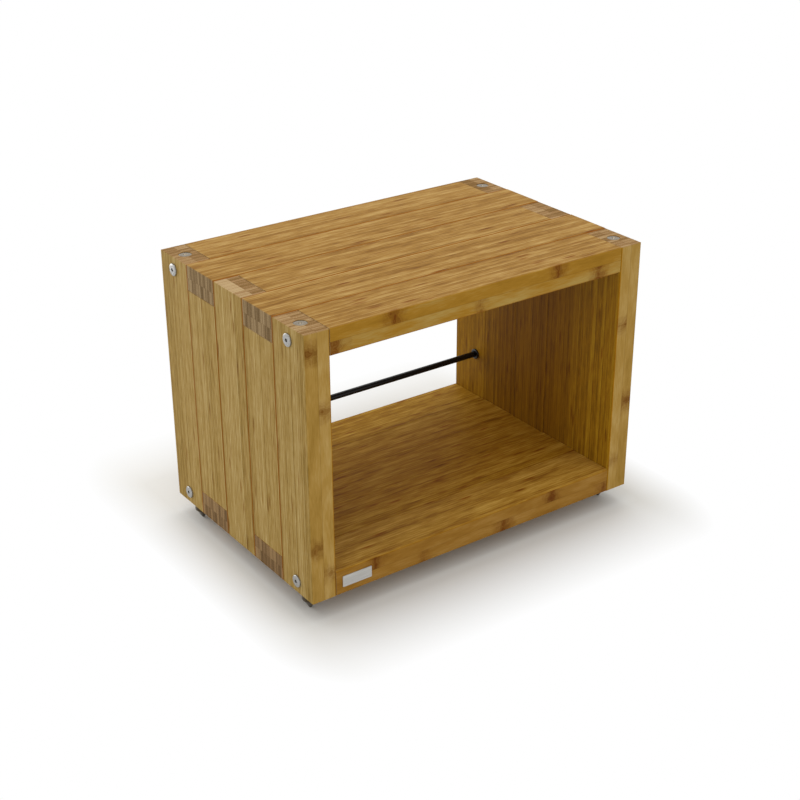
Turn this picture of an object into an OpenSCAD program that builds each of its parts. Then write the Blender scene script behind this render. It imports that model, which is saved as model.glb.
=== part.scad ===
// Record storage stand: a box of laminated bamboo bars, open at the front and the back,
// that stands on four screw-in spike feet. Its sides, top and bottom are panels of five
// bars each. At the corners the bars of two panels pass each other in turn, and bolts
// into barrel nuts clamp the first and the last layer. A rod across the back stops the
// records. Millimetres, +Z up. The origin is on the floor, under the middle of the
// carcass, and the open front faces -Y.

/* [Carcass] */
// Outside width of the carcass
carcass_w = 600; // [560:10:800]
// Outside height of the carcass, without its feet
carcass_h = 416; // [396:2:440]
// Width of one bar, along the depth of the stand
bar_w = 80; // [72:1:90]
// Thickness of every bar
bar_t = 40; // [38:1:44]
// Rounding of the long edges that show on the outside
outer_ease = 2; // [1:0.5:3]
// Rounding of the other edges and of the bar ends
inner_ease = 0.6; // [0.2:0.1:1]
// How far the upright ends stop below the face of the top rails
end_relief = 0.5; // [0:0.1:1]

/* [Corner bolts] */
// Diameter of the bolt shanks
bolt_d = 8; // [6:1:8]
// Length of a bolt under its head
bolt_len = 80; // [76:1:90]
// Diameter of the flat bolt heads
head_d = 19; // [16:0.5:22]
// Thickness of the bolt heads
head_h = 3; // [2.6:0.1:4]
// Bevel on the rims of the bolt heads
head_bevel = 0.8; // [0.4:0.1:1.2]
// Hexagon socket, across its flats
socket_af = 5; // [4:0.5:6]
// Depth of the hexagon socket
socket_depth = 2.6; // [2:0.1:3]
// Diameter of the barrel nuts
nut_d = 12; // [10:0.5:14]
// Length of the barrel nuts
nut_len = 22; // [16:1:26]
// Distance from a rail's end to its barrel nut
nut_inset = 30; // [24:1:32]

/* [Spike feet] */
// Height of the feet under the carcass
foot_h = 32; // [28:1:40]
// Diameter of a foot's collar
foot_d = 24; // [20:1:28]
// Height of a foot's collar, above its cone
foot_collar_h = 17.5; // [12:0.5:20]
// Width of the step between the collar and the cone
foot_step = 1.5; // [0.5:0.5:3]
// Diameter of the flat on the tip of the spike
foot_tip_d = 4; // [3:0.5:6]
// Bevel on the collar's rims
foot_bevel = 0.8; // [0.2:0.1:1.5]
// Diameter of a foot's stud
stud_d = 8; // [6:1:8]
// Length of a foot's stud
stud_len = 12; // [10:0.5:12.5]
// Outer diameter of the threaded inserts
insert_d = 14; // [12:0.5:16]
// Length of the threaded inserts
insert_len = 13; // [12:0.5:13]

/* [Stacking discs] */
// Diameter of the discs let into the top
disc_d = 20; // [18:0.5:24]
// Thickness of the discs
disc_t = 4; // [3:0.5:6]
// Depth of the discs below the upright ends
disc_recess = 0.4; // [0.2:0.1:1]
// Diameter of the dimple that takes the spike of a second stand
dimple_d = 6; // [4:0.5:8]
// Depth of the dimple
dimple_depth = 2; // [1:0.5:2.5]

/* [Record stop] */
// Diameter of the rod across the back
rod_d = 10; // [8:0.5:12]
// Height of the rod's axis above the underside of the carcass
rod_z = 118; // [80:1:240]
// Distance from the back of the carcass to the rod's axis
rod_inset = 56; // [20:1:60]
// Depth of the blind holes that hold the rod's ends
rod_seat = 10; // [8:1:20]
// Diameter of the collars against the walls
collar_d = 18; // [16:0.5:24]
// Thickness of the collars
collar_t = 3; // [2:0.5:6]

/* [Badge] */
// Width of the plain badge plate
badge_w = 50; // [30:1:60]
// Height of the plain badge plate
badge_h = 18; // [10:1:22]
// Thickness of the plain badge plate
badge_t = 0.8; // [0.5:0.1:1.5]
// Distance from the left upright to the badge plate
badge_inset = 11; // [5:1:40]

/* [Hidden] */
$fn = 48;
layers = 5;
ease_steps = 4;
bevel_steps = 1;

// Gaps between the pieces
shank_gap = 0.5;
thread_gap = 0.05;
hole_gap = 0.1;
rod_gap = 0.05;
hole_reserve = 1;
bore_reserve = 3;
nut_slot = 1.5;
collar_bevel = 0.5;
stud_bevel = 1;
badge_ease = 1.2;
cut = 1;

// Carcass
half_w = carcass_w / 2;
half_d = layers * bar_w / 2;
bay_half_w = half_w - bar_t;
wood_z0 = foot_h;
wood_z1 = foot_h + carcass_h;
bay_z0 = wood_z0 + bar_t;
bay_z1 = wood_z1 - bar_t;
function layer_y(layer) = (layer - 1) * bar_w - half_d;
function layer_mid(layer) = layer_y(layer) + bar_w / 2;
function is_odd(layer) = layer % 2 == 1;
function is_bolted(layer) = layer == 1 || layer == layers;
bolt_layers = [1, layers];
bolt_levels = [wood_z0 + bar_t / 2, wood_z1 - bar_t / 2];

// Bolts and barrel nuts
bolt_reach = bolt_len - bar_t;
nut_x = bay_half_w - nut_inset;

// Feet and rod
foot_axis_x = half_w - bar_t / 2;
cone_h = foot_h - foot_collar_h;
rod_y = half_d - rod_inset;
rod_half_len = bay_half_w + rod_seat - hole_gap;

// Each corner: its name, its side and its layer
corners = [
    ["front_left", -1, 1],
    ["front_right", 1, 1],
    ["rear_left", -1, layers],
    ["rear_right", 1, layers],
];
sides = [["left", -1], ["right", 1]];
levels = [["bottom", 0], ["top", 1]];

// Outline of a rectangle with rounded corners; r holds the radii, counter-clockwise
// from the low corner
function eased_rect(lo, hi, r, steps) = [
    for (k = [0 : 3])
        let (
            centre = [
                k == 1 || k == 2 ? hi.x - r[k] : lo.x + r[k],
                k >= 2 ? hi.y - r[k] : lo.y + r[k],
            ]
        )
        for (step = [0 : steps])
            let (angle = 180 + 90 * (k + step / steps))
            centre + r[k] * [cos(angle), sin(angle)]
];

// Prisms between two corners, along X, Y and Z
module prism_x(lo, hi, r, steps) {
    translate([lo.x, 0, 0])
        rotate([90, 0, 90])
            linear_extrude(hi.x - lo.x)
                polygon(eased_rect([lo.y, lo.z], [hi.y, hi.z], r, steps));
}

module prism_y(lo, hi, r, steps) {
    translate([0, hi.y, 0])
        rotate([90, 0, 0])
            linear_extrude(hi.y - lo.y)
                polygon(eased_rect([lo.x, lo.z], [hi.x, hi.z], r, steps));
}

module prism_z(lo, hi, r, steps) {
    translate([0, 0, lo.z])
        linear_extrude(hi.z - lo.z)
            polygon(eased_rect([lo.x, lo.y], [hi.x, hi.y], r, steps));
}

// A long edge is rounded more where one of its faces is on the outside
function edge_r(outside) = outside ? outer_ease : inner_ease;
end_r = [inner_ease, inner_ease, inner_ease, inner_ease];

// Round hole or pin along X, from x0 to x1
module round_x(x0, x1, y, z, d) {
    translate([x0, y, z])
        rotate([0, 90, 0])
            cylinder(d = d, h = x1 - x0);
}

// Upright bar of one side panel, in laminated bamboo. Odd layers reach from the
// underside to the top, even ones fit between the rail ends.
module upright_bar(side, layer) {
    near_x = side * bay_half_w;
    far_x = side * half_w;
    lo = [min(near_x, far_x), layer_y(layer), is_odd(layer) ? wood_z0 : bay_z0];
    hi = [max(near_x, far_x), lo.y + bar_w, is_odd(layer) ? wood_z1 - end_relief : bay_z1];
    front = layer == 1;
    back = layer == layers;
    section_r = [
        edge_r(front || side < 0),
        edge_r(front || side > 0),
        edge_r(back || side > 0),
        edge_r(back || side < 0),
    ];
    intersection() {
        prism_z(lo, hi, section_r, ease_steps);
        prism_x(lo, hi, end_r, bevel_steps);
        prism_y(lo, hi, end_r, bevel_steps);
    }
}

module upright(side, layer) {
    color("darkkhaki")
        difference() {
            upright_bar(side, layer);
            if (is_bolted(layer)) upright_holes(side, layer);
            if (layer == layers)
                round_x(
                    side > 0 ? bay_half_w - cut : -bay_half_w - rod_seat,
                    side > 0 ? bay_half_w + rod_seat : -bay_half_w + cut,
                    rod_y, wood_z0 + rod_z, rod_d + 2 * rod_gap
                );
        }
}

// Through holes for the bolts, a hole for the foot's insert below and a recess for the
// stacking disc on top
module upright_holes(side, layer) {
    y = layer_mid(layer);
    x0 = side > 0 ? bay_half_w - cut : -half_w - cut;
    for (z = bolt_levels)
        round_x(x0, x0 + bar_t + 2 * cut, y, z, bolt_d + 2 * shank_gap);
    translate([side * foot_axis_x, y, wood_z0 - cut])
        cylinder(d = insert_d + 2 * thread_gap, h = insert_len + hole_reserve + cut);
    translate([side * foot_axis_x, y, wood_z1 - end_relief - disc_recess - disc_t])
        cylinder(d = disc_d + 2 * hole_gap, h = disc_t + disc_recess + cut);
}

// Horizontal bar of the top or bottom panel, in laminated bamboo. Odd layers fit
// between the uprights, even ones reach from side to side.
module rail_bar(level, layer) {
    half = is_odd(layer) ? bay_half_w : half_w;
    z0 = level == 1 ? bay_z1 : wood_z0;
    lo = [-half, layer_y(layer), z0];
    hi = [half, lo.y + bar_w, z0 + bar_t];
    front = layer == 1;
    back = layer == layers;
    section_r = [
        edge_r(front || level == 0),
        edge_r(back || level == 0),
        edge_r(back || level == 1),
        edge_r(front || level == 1),
    ];
    intersection() {
        prism_x(lo, hi, section_r, ease_steps);
        prism_y(lo, hi, end_r, bevel_steps);
        prism_z(lo, hi, end_r, bevel_steps);
    }
}

module rail(level, layer) {
    color(level == 1 ? "goldenrod" : "peru")
        difference() {
            rail_bar(level, layer);
            if (is_bolted(layer)) rail_holes(level, layer);
        }
}

// A bore in each end for the bolt and, from the underside, a hole for its barrel nut
module rail_holes(level, layer) {
    y = layer_mid(layer);
    z = bolt_levels[level];
    bore_depth = bolt_reach + bore_reserve;
    for (side = [-1, 1]) {
        x0 = side > 0 ? bay_half_w - bore_depth : -bay_half_w - cut;
        round_x(x0, x0 + bore_depth + cut, y, z, bolt_d + shank_gap);
        translate([side * nut_x, y, z - bar_t / 2 - cut])
            cylinder(d = nut_d + 2 * hole_gap, h = bar_t / 2 + nut_len / 2 + hole_gap + cut);
    }
}

// Connector bolt of zinc-plated steel, with a wide flat head, head up and its seat at
// z = 0
module bolt() {
    head_r = head_d / 2;
    difference() {
        rotate_extrude()
            polygon([
                [0, -bolt_len],
                [bolt_d / 2, -bolt_len],
                [bolt_d / 2, 0],
                [head_r, 0],
                [head_r, head_h - head_bevel],
                [head_r - head_bevel, head_h],
                [0, head_h],
            ]);
        translate([0, 0, head_h - socket_depth])
            cylinder(d = socket_af / cos(30), h = socket_depth + cut, $fn = 6);
    }
}

module side_bolts(side) {
    color("darkgray")
        for (layer = bolt_layers, z = bolt_levels)
            translate([side * half_w, layer_mid(layer), z])
                rotate([0, side * 90, 0])
                    bolt();
}

// Barrel nuts of zinc-plated steel, upright in the rails, with a slot to turn them by
module barrel_nuts(level) {
    color("lightgray")
        for (layer = bolt_layers, side = [-1, 1])
            translate([side * nut_x, layer_mid(layer), bolt_levels[level]])
                difference() {
                    cylinder(d = nut_d, h = nut_len, center = true);
                    round_x(-nut_d, nut_d, 0, 0, bolt_d + 2 * thread_gap);
                    translate([0, 0, -nut_len / 2])
                        cube([nut_slot, 2 * nut_d, 2 * nut_slot], center = true);
                }
}

// Spike foot turned from one piece of steel and plated with dark nickel: stud, collar
// and cone
module spike_foot(side, layer) {
    foot_r = foot_d / 2;
    stud_r = stud_d / 2;
    color("dimgray")
        translate([side * foot_axis_x, layer_mid(layer), 0])
            rotate_extrude()
                polygon([
                    [0, 0],
                    [foot_tip_d / 2, 0],
                    [foot_r - foot_step, cone_h],
                    [foot_r - foot_bevel, cone_h],
                    [foot_r, cone_h + foot_bevel],
                    [foot_r, foot_h - foot_bevel],
                    [foot_r - foot_bevel, foot_h],
                    [stud_r, foot_h],
                    [stud_r, foot_h + stud_len - stud_bevel],
                    [stud_r - stud_bevel, foot_h + stud_len],
                    [0, foot_h + stud_len],
                ]);
}

// Threaded insert of zinc alloy in the underside of an upright, for a foot's stud
module foot_insert(side, layer) {
    color("darkgray")
        translate([side * foot_axis_x, layer_mid(layer), wood_z0])
            difference() {
                cylinder(d = insert_d, h = insert_len);
                translate([0, 0, -cut]) cylinder(d = stud_d + 2 * thread_gap, h = insert_len + 2 * cut);
            }
}

// Steel disc plated with dark nickel, in the top end of an upright, with a dimple for
// a spike
module stacking_disc(side, layer) {
    color("dimgray")
        translate([side * foot_axis_x, layer_mid(layer), wood_z1 - end_relief - disc_recess - disc_t])
            difference() {
                cylinder(d = disc_d, h = disc_t);
                translate([0, 0, disc_t - dimple_depth])
                    cylinder(d1 = 0, d2 = dimple_d, h = dimple_depth);
            }
}

// Black rod of painted steel across the back, held in the two rear uprights
module stop_rod() {
    color("black")
        round_x(-rod_half_len, rod_half_len, rod_y, wood_z0 + rod_z, rod_d);
}

// Black collar on the rod, against the wall of the bay
module rod_collar(side) {
    bore_r = rod_d / 2 + rod_gap;
    rim_r = collar_d / 2;
    color("black")
        translate([side * bay_half_w, rod_y, wood_z0 + rod_z])
            rotate([0, side * -90, 0])
                rotate_extrude()
                    polygon([
                        [bore_r, 0],
                        [rim_r, 0],
                        [rim_r, collar_t - collar_bevel],
                        [rim_r - collar_bevel, collar_t],
                        [bore_r, collar_t],
                    ]);
}

// Plain metal plate on the front of the lowest front rail
module badge_plate() {
    x0 = -bay_half_w + badge_inset;
    z0 = wood_z0 + (bar_t - badge_h) / 2;
    color("whitesmoke")
        prism_y(
            [x0, -half_d - badge_t, z0],
            [x0 + badge_w, -half_d, z0 + badge_h],
            [badge_ease, badge_ease, badge_ease, badge_ease],
            ease_steps
        );
}

for (side = sides, i = [1 : layers])
    upright(side[1], i);
for (level = levels, i = [1 : layers])
    rail(level[1], i);
for (side = sides) {
    side_bolts(side[1]);
    rod_collar(side[1]);
}
for (level = levels)
    barrel_nuts(level[1]);
for (corner = corners) {
    spike_foot(corner[1], corner[2]);
    foot_insert(corner[1], corner[2]);
    stacking_disc(corner[1], corner[2]);
}
stop_rod();
badge_plate();
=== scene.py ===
"""Record storage stand: the looks of its pieces, a floor, studio light and the camera."""

import functools
import math

import bpy
from mathutils import Euler, Matrix, Vector


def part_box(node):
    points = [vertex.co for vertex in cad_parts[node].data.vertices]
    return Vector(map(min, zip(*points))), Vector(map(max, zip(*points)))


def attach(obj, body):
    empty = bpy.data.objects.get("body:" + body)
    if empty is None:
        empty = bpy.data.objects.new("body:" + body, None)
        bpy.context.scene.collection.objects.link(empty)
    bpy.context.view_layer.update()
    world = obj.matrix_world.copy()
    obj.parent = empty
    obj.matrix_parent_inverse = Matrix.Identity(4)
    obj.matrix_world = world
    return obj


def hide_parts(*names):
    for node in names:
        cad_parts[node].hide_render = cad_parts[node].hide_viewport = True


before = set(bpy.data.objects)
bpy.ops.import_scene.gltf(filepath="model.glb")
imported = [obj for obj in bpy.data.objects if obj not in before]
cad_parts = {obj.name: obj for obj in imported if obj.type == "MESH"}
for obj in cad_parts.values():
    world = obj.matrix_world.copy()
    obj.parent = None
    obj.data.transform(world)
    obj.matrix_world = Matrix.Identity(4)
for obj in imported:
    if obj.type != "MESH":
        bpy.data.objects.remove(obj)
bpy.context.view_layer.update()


# ---------------------------------------------------------------------------------------
# Camera: at the left of the open front and above it, it looks down on the top, the front
# and the left side through a short telephoto lens. Its place is in metres, and it is the
# one from which the stand's edges fall where they do in the photograph.
camera_place = (-1.2348, -1.7294, 1.2241)
camera_turn_deg = 35.42     # to the right of straight ahead
camera_down_deg = 25.93
camera_roll_deg = -0.25
lens_mm = 67.62
sensor_mm = 36

bpy.ops.object.camera_add(location=camera_place)
camera = bpy.context.object
camera.name = "camera"
aim = Euler((math.radians(90 - camera_down_deg), 0, math.radians(-camera_turn_deg)))
roll = Matrix.Rotation(math.radians(camera_roll_deg), 3, "Z")
camera.rotation_euler = (aim.to_matrix() @ roll).to_euler()
camera.data.lens = lens_mm
camera.data.sensor_width = sensor_mm
camera.data.clip_start = 0.05
bpy.context.scene.camera = camera


# ---------------------------------------------------------------------------------------
# Bars of the carcass: bamboo strips of 5 x 20 mm, glued side by side in two rows, sawn
# and planed into bars of 80 x 40 mm, eased along their edges and rubbed with oil. Wide
# faces show the strips' edges, narrow faces show their flats, and ends the cut fibres.
half_w = 300.0      # millimetres, as all sizes of the stand's pieces
half_d = 200.0
wood_low = 32.0
wood_high = 448.0
bar_w = 80.0
bar_t = 40.0
strip_w = 5.0
row_t = 20.0
glue_line_w = 0.4
groove_w = 0.5
groove_dark_w = 2.2
bay_shade_eases_from = 60.0        # painted bay shade eases off the middle of the bay, to its front and its back
bay_shade_eases_to = 170.0
knuckle_pitch = 290.0
scar_reach = (10.0, 22.0)   # full up to the first distance, gone at the second
zone_reach = (18.0, 38.0)
fleck_reach = (9.0, 26.0)
zone_wobble = 22.0          # how far noise shifts the rim of a zone and its scar
swirl_wobble = 26.0
fleck_wobble = 14.0
swirl_gap = 2.8
front_skin = 5.0            # how deep the marks on the front go
oil_sheen = 0.06
glue_tone = "#5a3c18"
groove_tone = "#8c4f08"


def linear(hex_colour):
    """The linear RGBA colour of an sRGB hex value."""
    parts = [int(hex_colour[i:i + 2], 16) / 255 for i in (1, 3, 5)]
    return [p / 12.92 if p <= 0.04045 else ((p + 0.055) / 1.055) ** 2.4 for p in parts] + [1]


def set_inputs(tree, node, inputs):
    """Gives a shader node's inputs their values, or links them to sockets or nodes.

    They go by name, or by number where a name is there twice: in MapRange, 1 to 2 is
    mapped to 3 to 4, and Mix goes from input 2 to 3, or with colours from 6 to 7."""
    for key, value in inputs.items():
        if isinstance(value, bpy.types.Node):
            value = next(output for output in value.outputs if output.enabled)
        if isinstance(value, bpy.types.NodeSocket):
            tree.links.new(value, node.inputs[key])
        else:
            node.inputs[key].default_value = value


def add(tree, kind, inputs=None, stops=(), **settings):
    """Adds a shader node with its settings, its inputs and the colours of its ramp."""
    node = tree.nodes.new("ShaderNode" + kind)
    for key, value in settings.items():
        setattr(node, key, value)
    set_inputs(tree, node, inputs or {})
    for number, (position, hex_colour) in enumerate(stops):
        elements = node.color_ramp.elements
        element = elements[number] if number < 2 else elements.new(position)
        element.position = position
        element.color = linear(hex_colour)
    return node


def new_material(name):
    """A material, the function that adds its nodes, and the one that sets its shader."""
    material = bpy.data.materials.new(name)
    material.use_nodes = True
    tree = material.node_tree
    shader = tree.nodes["Principled BSDF"]
    return material, functools.partial(add, tree), functools.partial(set_inputs, tree, shader)


def oiled_laminated_bamboo(name, along, rows, first_row, middle, tones, seed, marks=()):
    """Bamboo of bars that run along one axis and have their rows across another.

    Oil leaves it satin and deep in colour. Faces that look into the bay get painted shade,
    deepest in the middle of the bay and easing off towards its open front and back. Edges
    are finely striped, flats are cloudy with a wavy knuckle across the strip now and then,
    ends are greyish and dotted. marks are the knuckles on the front: (row, place along the
    bar, and how far it has faded)."""
    material, put, finish = new_material(name)

    # The point's place in millimetres, a hair under the surface, so that no face lies
    # between two strips, and the way the face points: at an end, at a flat, or outwards
    place = put("TexCoord")
    normal = place.outputs["Normal"]
    under = put(
        "VectorMath", {0: normal, 1: (-0.0004,) * 3, 2: place.outputs["Object"]},
        operation="MULTIPLY_ADD",
    )
    in_mm = put("VectorMath", {0: under, "Scale": 1000.0}, operation="SCALE")
    at = put("SeparateXYZ", {0: in_mm}).outputs
    facing = put("SeparateXYZ", {0: normal}).outputs
    end_on = put("Math", {0: facing[along]}, operation="ABSOLUTE")
    end_face = put("MapRange", {0: end_on, 1: 0.6, 2: 0.8}, interpolation_type="SMOOTHSTEP")
    flat_on = put("Math", {0: facing["Y"]}, operation="ABSOLUTE")
    flat_face = put("MapRange", {0: flat_on, 1: 0.55, 2: 0.85}, interpolation_type="SMOOTHSTEP")
    from_middle = put("Math", {0: at[rows], 1: middle}, operation="SUBTRACT")
    outward = put("Math", {0: from_middle, 1: facing[rows]}, operation="MULTIPLY")
    bar_at = put("CombineXYZ", {0: at[along], 1: at["Y"], 2: at[rows]})

    # Which bar, row and strip it is, and how far across the strip
    from_front = put("Math", {0: at["Y"], 1: -half_d}, operation="SUBTRACT")
    bars_in = put("Math", {0: from_front, 1: bar_w}, operation="DIVIDE")
    bar_number = put("Math", {0: bars_in}, operation="FLOOR")
    from_row = put("Math", {0: at[rows], 1: first_row}, operation="SUBTRACT")
    rows_in = put("Math", {0: from_row, 1: row_t}, operation="DIVIDE")
    row_number = put("Math", {0: rows_in}, operation="FLOOR")
    row_id = put("CombineXYZ", {0: bar_number, 1: row_number, 2: seed})
    row_noise = put("TexWhiteNoise", {"Vector": row_id}).outputs
    row_random = row_noise["Value"]
    row_colours = put("SeparateXYZ", {0: row_noise["Color"]}).outputs
    shifted = put("Math", {0: row_random, 1: strip_w, 2: from_front}, operation="MULTIPLY_ADD")
    strips_in = put("Math", {0: shifted, 1: strip_w}, operation="DIVIDE")
    strip_number = put("Math", {0: strips_in}, operation="FLOOR")
    in_strip = put("Math", {0: strips_in}, operation="FRACT")
    to_pith = put("Math", {0: strips_in, 1: 1.0}, operation="PINGPONG")
    bar_seed = put("Math", {0: bar_number, 1: seed}, operation="ADD")
    strip_id = put("CombineXYZ", {0: strip_number, 1: row_number, 2: bar_seed})
    strip_noise = put("TexWhiteNoise", {"Vector": strip_id}).outputs["Color"]
    strip_random = put("SeparateXYZ", {0: strip_noise}).outputs

    def fibres(length, width, detail, shift):
        """Noise drawn out along the bar, moved by shift."""
        size = (1 / length, 1 / width, 1 / width)
        scaled = put("VectorMath", {0: bar_at, 1: size, 2: shift}, operation="MULTIPLY_ADD")
        return put("TexNoise", {"Vector": scaled, "Scale": 1.0, "Detail": detail})

    def blend(*parts):
        """A value about 0.5, moved by each part, from 0 to 1, times its weight."""
        total = 0.5 - sum(weight for part, weight in parts) / 2
        for part, weight in parts:
            total = put("Math", {0: part, 1: weight, 2: total}, operation="MULTIPLY_ADD")
        return total

    # Fibres: clouds run over a whole bar, and each strip has its own streaks
    strip_shift = put("VectorMath", {0: strip_id, "Scale": 7.7}, operation="SCALE")
    bar_shift = put("VectorMath", {0: row_id, "Scale": 3.3}, operation="SCALE")
    clouds = fibres(60.0, 14.0, 2.0, bar_shift)
    mottles = fibres(38.0, 4.0, 2.0, strip_shift)
    streaks = fibres(16.0, 1.6, 1.0, strip_shift)
    fine = fibres(9.0, 0.4, 1.0, strip_shift)

    # Tones of the edges and flats. Strips lie rind to rind and pith to pith, so that dark
    # and pale lines take turns across the edges.
    striped = tones["stripes"]
    edge_value = blend(
        (strip_random[0], 0.42 * striped), (in_strip, -0.30 * striped), (to_pith, 0.16 * striped),
        (clouds, tones["clouds"]), (mottles, tones["mottles"]), (streaks, 0.40),
        (fine, tones["fine"]),
    )
    edge_tone = put("ValToRGB", {0: edge_value}, stops=tones["edge"])
    flat_value = blend((row_random, 0.50), (clouds, 0.80), (streaks, 0.35), (fine, 0.20))
    flat_tone = put("ValToRGB", {0: flat_value}, stops=tones["flat"])
    tone = put("Mix", {"Factor": flat_face, 6: edge_tone, 7: flat_tone}, data_type="RGBA")
    # Painted shade: faces that look into the bay are multiplied by a deeper tint, most in the
    # middle of the bay and less towards its open front and back, where light comes in
    depth = put("Math", {0: at["Y"]}, operation="ABSOLUTE")
    bay_shade_easing = put("MapRange", {0: depth, 1: bay_shade_eases_from, 2: bay_shade_eases_to},
                   interpolation_type="SMOOTHSTEP")
    painted_bay_shade = put("Mix", {"Factor": bay_shade_easing, 6: linear(tones["bay"]), 7: linear(tones["mouth"])},
                   data_type="RGBA")
    bay_shaded_tone = put("Mix", {"Factor": 1.0, 6: tone, 7: painted_bay_shade},
                 data_type="RGBA", blend_type="MULTIPLY")
    in_bay = put("Math", {0: outward, 1: -1.0}, operation="LESS_THAN")
    tone = put("Mix", {"Factor": in_bay, 6: tone, 7: bay_shaded_tone}, data_type="RGBA")

    # Knuckles: one on each pitch of a strip, at its own place. On the front they are where
    # the marks say, and another row's marks are too far off to count.
    turns = put("Math", {0: at[along], 1: 1 / knuckle_pitch, 2: strip_random[2]},
                operation="MULTIPLY_ADD")
    around = put("Math", {0: turns}, operation="FRACT")
    off_middle = put("Math", {0: around, 1: 0.5}, operation="SUBTRACT")
    distance = put("Math", {0: off_middle}, operation="ABSOLUTE")
    from_knuckle = put("Math", {0: distance, 1: knuckle_pitch}, operation="MULTIPLY")
    if marks:
        too_far = 1000.0
        nearest = too_far
        for mark_row, mark_place, faded in marks:
            same_row = put("Math", {0: row_number, 1: mark_row, 2: 0.5}, operation="COMPARE")
            there = put("Math", {0: at[along], 1: mark_place}, operation="SUBTRACT")
            there = put("Math", {0: there}, operation="ABSOLUTE")
            there = put("Math", {0: same_row, 1: -too_far, 2: there}, operation="MULTIPLY_ADD")
            there = put("Math", {0: there, 1: too_far + faded}, operation="ADD")
            nearest = put("Math", {0: nearest, 1: there}, operation="MINIMUM")
        on_front = put("Math", {0: from_front, 1: front_skin}, operation="LESS_THAN")
        from_knuckle = put("Mix", {"Factor": on_front, 2: from_knuckle, 3: nearest})

    # On a flat the knuckle is a soft deeper zone, crossed by wavy lines, and darkest in
    # an uneven scar across its middle
    wobble = fibres(11.0, 9.0, 1.0, bar_shift)
    uneven = put("Math", {0: wobble, 1: zone_wobble, 2: from_knuckle}, operation="MULTIPLY_ADD")
    scar = put("MapRange", {0: uneven, 1: scar_reach[0], 2: scar_reach[1], 3: 1.0, 4: 0.0},
               interpolation_type="SMOOTHSTEP")
    zone = put("MapRange", {0: uneven, 1: zone_reach[0], 2: zone_reach[1], 3: 1.0, 4: 0.0},
               interpolation_type="SMOOTHSTEP")
    swirl = put("Math", {0: wobble, 1: swirl_wobble, 2: from_knuckle}, operation="MULTIPLY_ADD")
    swirl = put("Math", {0: swirl, 1: swirl_gap}, operation="PINGPONG")
    swirl = put("MapRange", {0: swirl, 1: 0.2, 2: swirl_gap - 0.2, 3: 0.2, 4: 1.0},
                interpolation_type="SMOOTHSTEP")
    swirl = put("Math", {0: swirl, 1: zone}, operation="MULTIPLY")
    on_flat = put("Math", {0: scar, 1: 0.46}, operation="MULTIPLY")
    on_flat = put("Math", {0: zone, 1: 0.28, 2: on_flat}, operation="MULTIPLY_ADD")
    on_flat = put("Math", {0: swirl, 1: 0.22, 2: on_flat}, operation="MULTIPLY_ADD")

    # On an edge it is a short dark fleck, strong on some strips and missing on others
    ragged = put("Math", {0: streaks, 1: fleck_wobble, 2: from_knuckle}, operation="MULTIPLY_ADD")
    long_way = put("MapRange", {0: ragged, 1: fleck_reach[0], 2: fleck_reach[1], 3: 1.0, 4: 0.0},
                   interpolation_type="SMOOTHSTEP")
    off_axis = put("Math", {0: in_strip, 1: 0.5}, operation="SUBTRACT")
    off_axis = put("Math", {0: off_axis}, operation="ABSOLUTE")
    wide_way = put("MapRange", {0: off_axis, 1: 0.25, 2: 0.55, 3: 1.0, 4: 0.0},
                   interpolation_type="SMOOTHSTEP")
    strength = put("MapRange", {0: strip_random[1], 1: 0.30, 2: 0.95, 3: 0.0, 4: 1.0})
    fleck = put("Math", {0: long_way, 1: wide_way}, operation="MULTIPLY")
    fleck = put("Math", {0: fleck, 1: strength}, operation="MULTIPLY")
    knuckle = put("Mix", {"Factor": flat_face, 2: fleck, 3: on_flat})
    tint = put("Mix", {"Factor": flat_face, 6: linear(tones["fleck"]), 7: linear(tones["knuckle"])},
               data_type="RGBA")
    dark = put("Mix", {"Factor": 1.0, 6: tone, 7: tint},
               data_type="RGBA", blend_type="MULTIPLY")
    tone = put("Mix", {"Factor": knuckle, 6: tone, 7: dark}, data_type="RGBA")

    # Cut ends: each strip goes from dark rind to pale pith, with dots of cut fibre just
    # under 1 mm apart, and each row has taken up the oil in its own way
    bundles = put("TexVoronoi", {"Vector": in_mm, "Scale": 1.1})
    end_value = blend(
        (strip_random[0], 0.45), (in_strip, -0.25), (to_pith, 0.25), (bundles, 0.5),
        (row_colours["Y"], tones["row_ends"]),
    )
    end_tone = put("ValToRGB", {0: end_value}, stops=tones["end"])
    tone = put("Mix", {"Factor": end_face, 6: tone, 7: end_tone}, data_type="RGBA")

    # Glue lines between the strips, on the ends, and between the two rows, where they
    # come in from 0.5 to 0.1 mm off the rows' edge
    strip_rim = put("Math", {0: in_strip, 1: glue_line_w / strip_w}, operation="LESS_THAN")
    strip_line = put("Math", {0: strip_rim, 1: end_face}, operation="MULTIPLY")
    in_row = put("Math", {0: rows_in}, operation="FRACT")
    off_row = put("Math", {0: in_row, 1: 0.5}, operation="SUBTRACT")
    off_row = put("Math", {0: off_row}, operation="ABSOLUTE")
    row_line = put("MapRange", {0: off_row, 1: 0.5 - 0.5 / row_t, 2: 0.5 - 0.1 / row_t})
    lines = put("Math", {0: strip_line, 1: row_line}, operation="MAXIMUM")
    lines = put("Math", {0: lines, 1: 0.35}, operation="MULTIPLY")
    tone = put("Mix", {"Factor": lines, 6: tone, 7: linear(glue_tone)}, data_type="RGBA")
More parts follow.
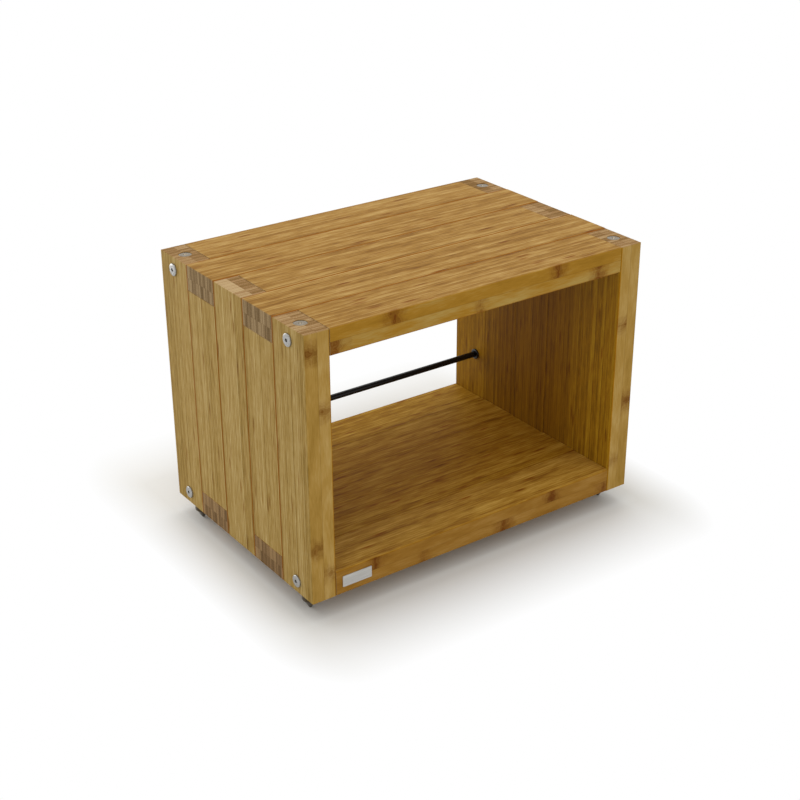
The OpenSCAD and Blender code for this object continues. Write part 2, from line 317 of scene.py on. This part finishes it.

    # The groove between two bars on the outside of the carcass is darkened, and the front
    # and back faces have no groove
    in_bar = put("Math", {0: bars_in}, operation="FRACT")
    off_bar = put("Math", {0: in_bar, 1: 0.5}, operation="SUBTRACT")
    off_bar = put("Math", {0: off_bar}, operation="ABSOLUTE")
    darkening_from = 0.5 - groove_dark_w / bar_w
    joint = put("MapRange", {0: off_bar, 1: darkening_from, 2: 0.5 - groove_w / bar_w},
                interpolation_type="SMOOTHSTEP")
    within = put("Math", {0: depth, 1: half_d - 10.0}, operation="LESS_THAN")
    outside = put("Math", {0: outward, 1: 1.0}, operation="GREATER_THAN")
    outside = put("Math", {0: outside, 1: end_face}, operation="MAXIMUM")
    joint = put("Math", {0: joint, 1: within}, operation="MULTIPLY")
    joint = put("Math", {0: joint, 1: outside}, operation="MULTIPLY")
    tone = put("Mix", {"Factor": joint, 6: tone, 7: linear(groove_tone)}, data_type="RGBA")

    # Open fibres make the face faintly uneven, and cut ends are duller than faces
    relief = blend((streaks, 0.5), (fine, 0.5))
    bump = put("Bump", {"Height": relief, "Strength": 0.3, "Distance": 0.0001})
    gloss = put("MapRange", {0: streaks, 1: 0.2, 2: 0.8, 3: 0.52, 4: 0.64})
    rough = put("Mix", {"Factor": end_face, 2: gloss, 3: 0.7})
    finish({
        "Base Color": tone, "Roughness": rough, "Normal": bump, "Specular IOR Level": oil_sheen,
    })
    return material


middle_z = (wood_low + wood_high) / 2
uprights = {"along": "Z", "rows": "X", "first_row": -half_w, "middle": 0.0}
top_rails = {"along": "X", "rows": "Z", "first_row": wood_high - bar_t, "middle": middle_z}
bottom_rails = {"along": "X", "rows": "Z", "first_row": wood_low, "middle": middle_z}

# Edges, flats and ends go from their dark to their pale fibres. The other colours are laid
# over those: painted shade on the faces inside the bay (deepest in its middle, "bay", less
# at its open front and back, "mouth"), and the knuckles. The numbers are the weights of
# what makes the tone of an edge or an end uneven.
upright_tones = {
    "edge": ((0.1, "#715718"), (0.5, "#a08243"), (0.9, "#bfa770")),
    "flat": ((0.1, "#8b6820"), (0.5, "#a98540"), (0.9, "#c0a265")),
    "end": ((0.1, "#705124"), (0.5, "#957349"), (0.9, "#b2976d")),
    "bay": "#bc9718",
    "mouth": "#eed04c",
    "knuckle": "#ab8646",
    "fleck": "#d0b88a",
    "stripes": 0.7,
    "clouds": 0.15,
    "mottles": 0.60,
    "fine": 0.40,
    "row_ends": 0.5,
}
top_tones = {
    "edge": ((0.2, "#744b12"), (0.5, "#9d7535"), (0.8, "#be9c5e")),
    "flat": ((0.1, "#87600f"), (0.5, "#a27624"), (0.9, "#b09452")),
    "end": ((0.1, "#584324"), (0.5, "#836b49"), (0.9, "#a18a66")),
    "bay": "#ebd2a2",
    "mouth": "#f6e3b8",
    "knuckle": "#ad8242",
    "fleck": "#c8a060",
    "stripes": 0.5,
    "clouds": 0.5,
    "mottles": 0.42,
    "fine": 0.18,
    "row_ends": 0.1,
}
bottom_tones = {
    "edge": ((0.2, "#7f530c"), (0.5, "#a97e2b"), (0.8, "#cda860")),
    "flat": ((0.1, "#7b5012"), (0.5, "#986d29"), (0.9, "#b08848")),
    "end": ((0.1, "#584328"), (0.5, "#7f6342"), (0.9, "#9c8058")),
    "bay": "#eddd9c",
    "mouth": "#fcf5ba",
    "knuckle": "#ad8242",
    "fleck": "#d2ac68",
    "stripes": 0.42,
    "clouds": 0.6,
    "mottles": 0.5,
    "fine": 0.20,
    "row_ends": 0.1,
}
front_bottom_tones = dict(
    bottom_tones, edge=((0.2, "#845720"), (0.5, "#b08642"), (0.8, "#d2ac6c"))
)

# Each front bar has a bamboo of its own, with its knuckles where the real bar has them.
# Uprights count their rows across the whole stand, from the left, so that the right one
# has rows 28 and 29. Rails count theirs from below.
bamboos = {
    "upright": oiled_laminated_bamboo(
        "oiled_bamboo_uprights", **uprights, tones=upright_tones, seed=129.0
    ),
    "rail_top": oiled_laminated_bamboo(
        "oiled_bamboo_top", **top_rails, tones=top_tones, seed=692.0
    ),
    "rail_bottom": oiled_laminated_bamboo(
        "oiled_bamboo_bottom", **bottom_rails, tones=bottom_tones, seed=563.0
    ),
    "upright_left_1": oiled_laminated_bamboo(
        "oiled_bamboo_front_left", **uprights, tones=upright_tones, seed=2530.0,
        marks=((0, 419, 0), (0, 119, 3), (1, 330, 4), (1, 74, 6)),
    ),
    "upright_right_1": oiled_laminated_bamboo(
        "oiled_bamboo_front_right", **uprights, tones=upright_tones, seed=268.0,
        marks=((28, 320, 4), (28, 86, 8), (29, 186, 0)),
    ),
    "rail_top_1": oiled_laminated_bamboo(
        "oiled_bamboo_front_top", **top_rails, tones=top_tones, seed=83.0,
        marks=((1, -156, 0), (1, 136, 0), (0, -256, -6), (0, -8, 8), (0, 216, 0)),
    ),
    "rail_bottom_1": oiled_laminated_bamboo(
        "oiled_bamboo_front_bottom", **bottom_rails, tones=front_bottom_tones, seed=3.0,
        marks=((1, -193, 2), (1, 143, 0), (0, -105, 9), (0, 48, 0), (0, 252, 3)),
    ),
}

# A bar takes the bamboo with the longest name that its own name starts with
for node_name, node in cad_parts.items():
    kinds = [kind for kind in bamboos if node_name == kind or node_name.startswith(kind + "_")]
    if kinds:
        node.data.materials.clear()
        node.data.materials.append(bamboos[max(kinds, key=len)])


# ---------------------------------------------------------------------------------------
# Barrel nuts: round bars of zinc-plated steel, cross-drilled and tapped M8, with a slot
# in the lower end to turn the hole to the bolt. They stand in holes bored up into the
# rails, so their slotted ends show from below.
nut_r = 6.0
nut_half = 11.0
nut_chamfer = 0.5
nut_slot_w = 1.5
nut_slot_depth = 1.5
tapped_r = 4.05
nut_from_rail_end = 30.0
nut_x = half_w - bar_t - nut_from_rail_end
bolt_y = half_d - bar_w / 2
bolt_levels = {"bottom": wood_low + bar_t / 2, "top": wood_high - bar_t / 2}


def zinc_plated_steel():
    """Zinc plate: pale grey and bright, dulled a little in patches, finely scratched."""
    material, put, finish = new_material("zinc_plated_steel")
    place = put("TexCoord").outputs["Object"]
    # Patches 3 mm wide, and scratches 0.02 mm wide in fact, drawn 0.4 mm wide to show
    patches = put("TexNoise", {"Vector": place, "Scale": 350.0, "Detail": 3.0})
    scratches = put("TexNoise", {"Vector": place, "Scale": 2600.0, "Detail": 2.0})
    greys = ((0.3, "#918f8b"), (0.55, "#a5a4a1"), (0.75, "#b2b2b0"))
    colour = put("ValToRGB", {0: patches}, stops=greys)
    rough = put("MapRange", {0: scratches, 1: 0.3, 2: 0.7, 3: 0.24, 4: 0.42})
    bump = put("Bump", {"Height": scratches, "Strength": 0.15, "Distance": 0.00005})
    finish({"Base Color": colour, "Roughness": rough, "Normal": bump, "Metallic": 1.0})
    return material


def turned(name, steps, sides=48):
    """A turned piece on the Z axis: a filled circle, extruded and sized ring by ring.

    steps are (radius, height) in millimetres, from the first face to the last."""
    bpy.ops.object.select_all(action="DESELECT")
    radius, height = steps[0]
    bpy.ops.mesh.primitive_circle_add(
        vertices=sides, radius=radius / 1000, fill_type="NGON", location=(0, 0, height / 1000)
    )
    piece = bpy.context.object
    piece.name = name
    bpy.ops.object.transform_apply(location=True, rotation=True, scale=True)
    bpy.ops.object.mode_set(mode="EDIT")
    for next_radius, next_height in steps[1:]:
        rise = (0, 0, (next_height - height) / 1000)
        bpy.ops.mesh.extrude_region_move(TRANSFORM_OT_translate={"value": rise})
        grow = next_radius / radius
        bpy.ops.transform.resize(value=(grow, grow, 1), center_override=(0, 0, next_height / 1000))
        radius, height = next_radius, next_height
    bpy.ops.mesh.select_all(action="SELECT")
    bpy.ops.mesh.normals_make_consistent(inside=False)
    bpy.ops.object.mode_set(mode="OBJECT")
    return piece


def pick(*pieces):
    """Selects these pieces alone, and makes the first one active."""
    bpy.ops.object.select_all(action="DESELECT")
    for piece in pieces:
        piece.select_set(True)
    bpy.context.view_layer.objects.active = pieces[0]


def apply_modifier(piece, kind, **settings):
    """Adds a modifier with its settings and applies it."""
    pick(piece)
    modifier = piece.modifiers.new(kind.lower(), kind)
    for key, value in settings.items():
        setattr(modifier, key, value)
    bpy.ops.object.modifier_apply(modifier=modifier.name)


def cut_away(piece, cutter):
    """Cuts a closed shape out of a piece, and deletes the shape."""
    apply_modifier(piece, "BOOLEAN", object=cutter, operation="DIFFERENCE", solver="EXACT")
    bpy.data.objects.remove(cutter)


def drill(piece, radius, depth, sides=48, turn=(0, 0, 0), height=0.0):
    """Cuts a hole on the Z axis, or one turned from it, as deep both ways from a height."""
    bpy.ops.mesh.primitive_cylinder_add(
        vertices=sides, radius=radius / 1000, depth=2 * depth / 1000, rotation=turn,
        location=(0, 0, height / 1000),
    )
    cut_away(piece, bpy.context.object)


def ease_edges(piece, width, over_deg):
    """Rounds the edges that turn by more than an angle."""
    apply_modifier(
        piece, "BEVEL", width=width / 1000, segments=2, limit_method="ANGLE",
        angle_limit=math.radians(over_deg),
    )


def place_copies(piece, name, places, turn=(0, 0, 0)):
    """Copies a piece, turned, to each place in mm, and joins the copies into one."""
    copies = []
    for place in places:
        pick(piece)
        bpy.ops.object.duplicate()
        copy = bpy.context.object
        copy.rotation_euler = turn
        copy.location = Vector(place) / 1000
        bpy.ops.object.transform_apply(location=True, rotation=True, scale=True)
        copies.append(copy)
    pick(*copies)
    if len(copies) > 1:
        bpy.ops.object.join()
    joined = bpy.context.object
    joined.name = name
    joined.data.name = name
    return joined


def dress(piece, material, body, node_name):
    """Gives a finished piece its material, smooth shading and body, and hides the node it stands
    for.
    """
    piece.data.materials.clear()
    piece.data.materials.append(material)
    pick(piece)
    bpy.ops.object.shade_smooth_by_angle(angle=math.radians(30))
    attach(piece, body)
    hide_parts(node_name)


zinc = zinc_plated_steel()
nut = turned("barrel_nut", (
    (nut_r - nut_chamfer, -nut_half), (nut_r, nut_chamfer - nut_half),
    (nut_r, nut_half - nut_chamfer), (nut_r - nut_chamfer, nut_half),
))
bpy.ops.mesh.primitive_cube_add(
    size=1, location=(0, 0, -nut_half / 1000),
    scale=(nut_slot_w / 1000, 4 * nut_r / 1000, 2 * nut_slot_depth / 1000),
)
cut_away(nut, bpy.context.object)
drill(nut, tapped_r, 2 * nut_r, sides=32, turn=(0, math.pi / 2, 0))
ease_edges(nut, 0.3, over_deg=50)
for level, z in bolt_levels.items():
    places = [(side * nut_x, y, z) for side in (-1, 1) for y in (-bolt_y, bolt_y)]
    nuts = place_copies(nut, f"cross_drilled_nuts_{level}", places)
    dress(nuts, zinc, "carcass", f"barrel_nuts_{level}")
bpy.data.objects.remove(nut)


# ---------------------------------------------------------------------------------------
# Corner bolts: M8 connector bolts of zinc-plated steel, cold-headed with a wide flat
# head, a bevelled rim and a hexagon socket. Each goes through an upright into the end of
# a rail and is screwed into its barrel nut.
head_r = 9.5
head_h = 3.0
head_bevel = 0.8
head_crown = 0.12
bolt_len = 80.0
shank_r = 4.0
thread_len = 22.0
thread_pitch = 1.25
thread_depth = 0.6
thread_play = 0.05
socket_across_flats = 5.0
socket_depth = 2.6


def thread_steps(low, high, radius):
    """Rings of an M8 thread, crest and root in turn, as steps for a turned piece."""
    root = radius - thread_depth
    steps = []
    for groove in range(int((high - low) / thread_pitch)):
        z = low + groove * thread_pitch
        steps += [(radius, z), (radius, z + 0.2), (root, z + 0.6), (root, z + 0.8)]
    return steps


# From the chamfered tip up: thread, plain shank, the head's rim, its bevel and its crown
thread_r = shank_r - thread_play
thread_low = 1.0 - bolt_len
thread_high = thread_len - bolt_len
bevel_low = head_h - head_bevel
crown_low = head_h - head_crown
socket_r = socket_across_flats / 2 / math.cos(math.pi / 6)
bolt = turned("connector_bolt", (
    [(shank_r - 0.8, -bolt_len), (thread_r, thread_low - 0.2)]
    + thread_steps(thread_low, thread_high, thread_r)
    + [(thread_r, thread_high + 0.6), (thread_r, 0), (head_r - 0.3, 0), (head_r, 0.3)]
    + [(head_r, bevel_low - 0.1), (head_r - 0.1, bevel_low + 0.1)]
    + [(head_r - head_bevel + 0.1, crown_low - 0.1), (head_r - head_bevel - 0.15, crown_low)]
    + [(head_r - 3, head_h - head_crown / 4), (socket_across_flats / 2 + 1.2, head_h)]
), sides=64)
drill(bolt, socket_r, socket_depth, sides=6, height=head_h)
for side, way in (("left", -1), ("right", 1)):
    seats = [(way * half_w, y, z) for y in (-bolt_y, bolt_y) for z in bolt_levels.values()]
    bolts = place_copies(bolt, f"flat_head_bolts_{side}", seats, (0, way * math.pi / 2, 0))
    dress(bolts, zinc, "carcass", f"side_bolts_{side}")
bpy.data.objects.remove(bolt)


# ---------------------------------------------------------------------------------------
# Feet: spikes turned from steel rod and plated with dark nickel, their colour darkened and
# warmed further as painted shade under the stand. Their threaded studs screw into
# die-cast inserts in the undersides of the uprights, to level the stand.
corner_x = half_w - bar_t / 2
corner_y = half_d - bar_w / 2
corners = {
    "front_left": (-corner_x, -corner_y), "front_right": (corner_x, -corner_y),
    "rear_left": (-corner_x, corner_y), "rear_right": (corner_x, corner_y),
}
foot_r = 12.0
cone_r = 10.5
cone_h = 14.5
tip_r = 2.0
stud_r = shank_r - 0.03
stud_len = 12.0
insert_r = 7.0
insert_len = 13.0


def nickel_plated_steel(name, deep, pale):
    """Nickel over turned steel: a smoky mirror with the faint rings of the tool."""
    material, put, finish = new_material(name)
    place = put("TexCoord").outputs["Object"]
    mirrored = put("VectorMath", {0: place}, operation="ABSOLUTE")
    corner_axis = (corner_x / 1000, corner_y / 1000, 0.0)
    centred = put("VectorMath", {0: mirrored, 1: corner_axis}, operation="SUBTRACT")
    at = put("SeparateXYZ", {0: centred}).outputs
    flat = put("CombineXYZ", {0: at["X"], 1: at["Y"]})
    out = put("VectorMath", {0: flat}, operation="LENGTH").outputs["Value"]
    along = put("Math", {0: out, 1: at["Z"]}, operation="ADD")
    # Tool rings 0.05 mm apart in fact, drawn 0.35 mm apart so that they show
    groove = put("CombineXYZ", {0: along})
    rings = put("TexNoise", {"Vector": groove, "Scale": 2800.0, "Detail": 1.0})
    # Smoky clouds 6 mm wide
    smoke = put("TexNoise", {"Vector": place, "Scale": 160.0, "Detail": 2.0})
    colour = put("ValToRGB", {0: smoke}, stops=((0.3, deep), (0.7, pale)))
    rough = put("MapRange", {0: rings, 1: 0.3, 2: 0.7, 3: 0.16, 4: 0.30})
    bump = put("Bump", {"Height": rings, "Strength": 0.2, "Distance": 0.00005})
    finish({"Base Color": colour, "Roughness": rough, "Normal": bump, "Metallic": 1.0})
    return material


def die_cast_zinc():
    """Die-cast zinc alloy: grey and matt, with the fine grain of the mould."""
    material, put, finish = new_material("die_cast_zinc")
    place = put("TexCoord").outputs["Object"]
    # Grain 0.1 mm wide in fact, drawn 0.6 mm wide so that it shows
    grain = put("TexNoise", {"Vector": place, "Scale": 1800.0, "Detail": 2.0})
    colour = put("ValToRGB", {0: grain}, stops=((0.3, "#85847f"), (0.7, "#9b9a96")))
    bump = put("Bump", {"Height": grain, "Strength": 0.3, "Distance": 0.00008})
    finish({"Base Color": colour, "Roughness": 0.5, "Normal": bump, "Metallic": 1.0})
    return material


# Painted shade and reflection: the feet's colour is darker and warmer than their dark nickel alone,
# for the shade under the stand and the brown wood they reflect there
dark_nickel_and_painted_shade = nickel_plated_steel("dark_nickel_steel_with_painted_shade", "#4d4435", "#635848")
# From the flat tip up: cone, collar with rounded rims, undercut, and threaded stud
stud_top = wood_low + stud_len
foot = turned("foot", (
    [(tip_r - 0.4, 0), (tip_r, 0.3), (cone_r - 0.15, cone_h - 0.25), (cone_r + 0.05, cone_h)]
    + [(foot_r - 0.8, cone_h), (foot_r - 0.25, cone_h + 0.25), (foot_r, cone_h + 0.8)]
    + [(foot_r, wood_low - 0.8), (foot_r - 0.25, wood_low - 0.25), (foot_r - 0.8, wood_low)]
    + [(shank_r - thread_depth, wood_low), (shank_r - thread_depth, wood_low + 0.5)]
    + thread_steps(wood_low + 0.9, stud_top - 0.9, stud_r)
    + [(stud_r, stud_top - 1.0), (shank_r - 1, stud_top)]
))
insert = turned("insert", (
    (insert_r - 0.4, 0), (insert_r, 0.4), (insert_r, insert_len - 1), (insert_r - 1, insert_len)
))
drill(insert, tapped_r, 20.0)
ease_edges(insert, 0.3, over_deg=60)
cast_zinc = die_cast_zinc()
for corner, (x, y) in corners.items():
    spike = place_copies(foot, f"turned_foot_{corner}", [(x, y, 0)])
    dress(spike, dark_nickel_and_painted_shade, f"foot_{corner}", f"spike_foot_{corner}")
    sleeve = place_copies(insert, f"threaded_insert_{corner}", [(x, y, wood_low)])
    dress(sleeve, cast_zinc, "carcass", f"foot_insert_{corner}")
for pattern_piece in (foot, insert):
    bpy.data.objects.remove(pattern_piece)


# ---------------------------------------------------------------------------------------
# Stacking discs: turned from steel and plated with pale nickel, let into the top ends of
# the corner uprights just below the wood. The dimple takes the spike of a second stand.
disc_r = 10.0
disc_t = 4.0
upright_short = 0.5
disc_sunk = 0.4
disc_high = wood_high - upright_short - disc_sunk
disc_low = disc_high - disc_t
dimple_r = 3.0
dimple_depth = 2.0
dimple_low = disc_high - dimple_depth

# From the underside up: rim with a rounded edge, top face, and the dimple's cone down
pale_nickel = nickel_plated_steel("pale_nickel_plated_steel", "#7a7060", "#8f8472")
disc = turned("disc", (
    (disc_r - 0.3, disc_low), (disc_r, disc_low + 0.3),
    (disc_r, disc_high - 0.5), (disc_r - 0.15, disc_high - 0.15), (disc_r - 0.5, disc_high),
    (dimple_r + 0.3, disc_high), (dimple_r, disc_high - 0.08), (dimple_r - 0.2, disc_high - 0.3),
    (0.3, dimple_low + 0.1), (0.1, dimple_low),
), sides=64)
for corner, (x, y) in corners.items():
    cup = place_copies(disc, f"dimpled_disc_{corner}", [(x, y, 0)])
    dress(cup, pale_nickel, "carcass", f"stacking_disc_{corner}")
bpy.data.objects.remove(disc)


# ---------------------------------------------------------------------------------------
# Record stop: a bright-drawn steel rod, powder-coated black, across the back of the bay.
# Its ends sit in blind holes, and a collar of the same finish covers each hole.
bay_half_w = half_w - bar_t
rod_r = 5.0
rod_in_hole = 9.9
rod_from_back = 56.0
rod_over_underside = 118.0
rod_half = bay_half_w + rod_in_hole
rod_y = half_d - rod_from_back
rod_z = wood_low + rod_over_underside
collar_r = 9.0
collar_t = 3.0
collar_play = 0.05


def black_powder_coat():
    """Black powder coat: satin, with the shallow orange peel of the melted powder."""
    material, put, finish = new_material("black_powder_coat")
    place = put("TexCoord").outputs["Object"]
    # Orange peel, its bumps about 1 mm apart
    peel = put("TexNoise", {"Vector": place, "Scale": 900.0, "Detail": 1.0})
    colour = put("ValToRGB", {0: peel}, stops=((0.35, "#0c0b0a"), (0.7, "#151413")))
    rough = put("MapRange", {0: peel, 1: 0.3, 2: 0.7, 3: 0.34, 4: 0.44})
    bump = put("Bump", {"Height": peel, "Strength": 0.35, "Distance": 0.0001})
    finish({
        "Base Color": colour, "Roughness": rough, "Normal": bump, "Specular IOR Level": 0.3,
    })
    return material


powder_coat = black_powder_coat()
rod = turned("rod", (
    (rod_r - 0.8, -rod_half), (rod_r - 0.2, -rod_half + 0.3), (rod_r, -rod_half + 0.9),
    (rod_r, rod_half - 0.9), (rod_r - 0.2, rod_half - 0.3), (rod_r - 0.8, rod_half),
))
stop = place_copies(rod, "coated_rod", [(0, rod_y, rod_z)], (0, math.pi / 2, 0))
dress(stop, powder_coat, "carcass", "stop_rod")
collar = turned("collar", (
    (collar_r - 0.2, 0), (collar_r, 0.2), (collar_r, collar_t - 0.9),
    (collar_r - 0.25, collar_t - 0.3), (collar_r - 0.8, collar_t),
), sides=64)
drill(collar, rod_r + collar_play, 10.0)
ease_edges(collar, 0.2, over_deg=60)
for side, way in (("left", -1), ("right", 1)):
    wall = (way * bay_half_w, rod_y, rod_z)
    ring = place_copies(collar, f"coated_collar_{side}", [wall], (0, -way * math.pi / 2, 0))
    dress(ring, powder_coat, "carcass", f"rod_collar_{side}")
for pattern_piece in (rod, collar):
    bpy.data.objects.remove(pattern_piece)


# ---------------------------------------------------------------------------------------
# Badge: a small plate of brushed aluminium, blanked and coined with a raised border, and
# glued to the lowest front rail. It is left plain.
badge_low, badge_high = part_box("badge_plate")
badge_corner_r = 1.2
badge_border = 0.8
badge_recess = 0.2
badge_slope = 0.2


def brushed_aluminium():
    """Brushed aluminium: pale and silky, with fine scratches along the plate."""
    material, put, finish = new_material("brushed_aluminium")
    place = put("TexCoord").outputs["Object"]
    # Scratches 0.05 mm apart in fact, drawn 0.3 mm apart so that they show
    stretched = put("Mapping", {"Vector": place, "Scale": (40.0, 3000.0, 3000.0)})
    scratches = put("TexNoise", {"Vector": stretched, "Scale": 1.0, "Detail": 2.0})
    colour = put("ValToRGB", {0: scratches}, stops=((0.3, "#b3b2ae"), (0.7, "#cfcecb")))
    rough = put("MapRange", {0: scratches, 1: 0.3, 2: 0.7, 3: 0.32, 4: 0.46})
    bump = put("Bump", {"Height": scratches, "Strength": 0.2, "Distance": 0.00005})
    finish({"Base Color": colour, "Roughness": rough, "Normal": bump, "Metallic": 1.0})
    return material


bpy.ops.object.select_all(action="DESELECT")
bpy.ops.mesh.primitive_cube_add(
    size=1, location=(badge_low + badge_high) / 2, scale=badge_high - badge_low
)
badge = bpy.context.object
badge.name = "coined_badge"
bpy.ops.object.transform_apply(location=True, rotation=True, scale=True)

# Round the four corners, on the edges that run through the plate
bpy.ops.object.mode_set(mode="EDIT")
bpy.ops.mesh.select_mode(type="EDGE")
bpy.ops.mesh.select_all(action="DESELECT")
bpy.ops.object.mode_set(mode="OBJECT")
for edge in badge.data.edges:
    ends = [badge.data.vertices[v].co for v in edge.vertices]
    edge.select = abs(ends[0].y - ends[1].y) > 0.0001
bpy.ops.object.mode_set(mode="EDIT")
bpy.ops.mesh.bevel(offset=badge_corner_r / 1000, segments=6)

# Sink the front face inside its border
bpy.ops.mesh.select_mode(type="FACE")
bpy.ops.mesh.select_all(action="DESELECT")
bpy.ops.object.mode_set(mode="OBJECT")
for face in badge.data.polygons:
    face.select = face.normal.y < -0.9
bpy.ops.object.mode_set(mode="EDIT")
bpy.ops.mesh.inset(thickness=badge_border / 1000, depth=0)
bpy.ops.mesh.inset(thickness=badge_slope / 1000, depth=-badge_recess / 1000)
bpy.ops.object.mode_set(mode="OBJECT")
dress(badge, brushed_aluminium(), "carcass", "badge_plate")


# ---------------------------------------------------------------------------------------
# Floor and light: a white studio sweep, white all round, a large softbox overhead and a
# weaker lamp behind. Seen by the camera, the floor is matt paint under and round the
# stand, where it holds the shadow, and fades to pure white. Places are in metres.
white = (1, 1, 1, 1)
floor_size = 60
# The matt floor's slight warm, yellowish tint is painted warm light, bounced from the bamboo into
# the shadow
floor_tone = (0.74, 0.733, 0.70, 1)
shadow_middle = (0.01, 0.05, 0.0)
shadow_half = (0.31, 0.25, 0.0)
fade_faster = (1.7, 1.0, 1.0)
shadow_fades_from = 0.013
shadow_fades_to = 0.16
surround_strength = 0.92


def seen_directly(put):
    """1 for rays of the camera and for what metal and glass reflect or let through."""
    path = put("LightPath").outputs
    seen = put("Math", {0: path["Is Camera Ray"], 1: path["Is Glossy Ray"]}, operation="MAXIMUM")
    return put("Math", {0: seen, 1: path["Is Transmission Ray"]}, operation="MAXIMUM")


bpy.ops.object.select_all(action="DESELECT")
bpy.ops.mesh.primitive_grid_add(x_subdivisions=8, y_subdivisions=8, size=floor_size)
floor = bpy.context.object
floor.name = "studio_floor"
paint = bpy.data.materials.new("white_floor_paint")
paint.use_nodes = True
paint.node_tree.nodes.clear()
put = functools.partial(add, paint.node_tree)
seen = seen_directly(put)
matt = put("BsdfDiffuse", {"Color": floor_tone})
glow = put("Emission", {"Color": white, "Strength": 1.0})

# How far a place is outside the rectangle of the shadow. To the sides it counts for more.
place = put("TexCoord").outputs["Object"]
aside = put("VectorMath", {0: place, 1: shadow_middle}, operation="SUBTRACT")
aside = put("VectorMath", {0: aside}, operation="ABSOLUTE")
aside = put("VectorMath", {0: aside, 1: shadow_half}, operation="SUBTRACT")
aside = put("VectorMath", {0: aside, 1: (0.0, 0.0, 0.0)}, operation="MAXIMUM")
aside = put("VectorMath", {0: aside, 1: fade_faster}, operation="MULTIPLY")
away = put("VectorMath", {0: aside}, operation="LENGTH").outputs["Value"]
far = put("MapRange", {0: away, 1: shadow_fades_from, 2: shadow_fades_to})
far = put("Math", {0: far, 1: seen}, operation="MULTIPLY")
surface = put("MixShader", {0: far, 1: matt, 2: glow})
put("OutputMaterial", {"Surface": surface})
floor.data.materials.append(paint)

world = bpy.data.worlds.new("white_surround")
bpy.context.scene.world = world
world.use_nodes = True
world.node_tree.nodes.clear()
put = functools.partial(add, world.node_tree)
strength = put("Mix", {"Factor": seen_directly(put), 2: surround_strength, 3: 1.0})
surround = put("Background", {"Color": white, "Strength": strength})
put("OutputWorld", {"Surface": surround})


def area_lamp(name, place, towards, size, watts):
    """A square lamp that faces a point."""
    bpy.ops.object.light_add(type="AREA", location=place)
    lamp = bpy.context.object
    lamp.name = name
    lamp.data.size = size
    lamp.data.energy = watts
    aim = Vector(towards) - lamp.location
    lamp.rotation_euler = aim.to_track_quat("-Z", "Y").to_euler()


area_lamp("overhead_softbox", place=(0.15, 0.3, 2.3), towards=(0, 0, 0.2), size=1.8, watts=14)
area_lamp("rear_fill", place=(-0.7, 1.5, 0.5), towards=(0.25, 0.1, 0.2), size=1.0, watts=9)

bpy.context.scene.view_settings.view_transform = "Standard"
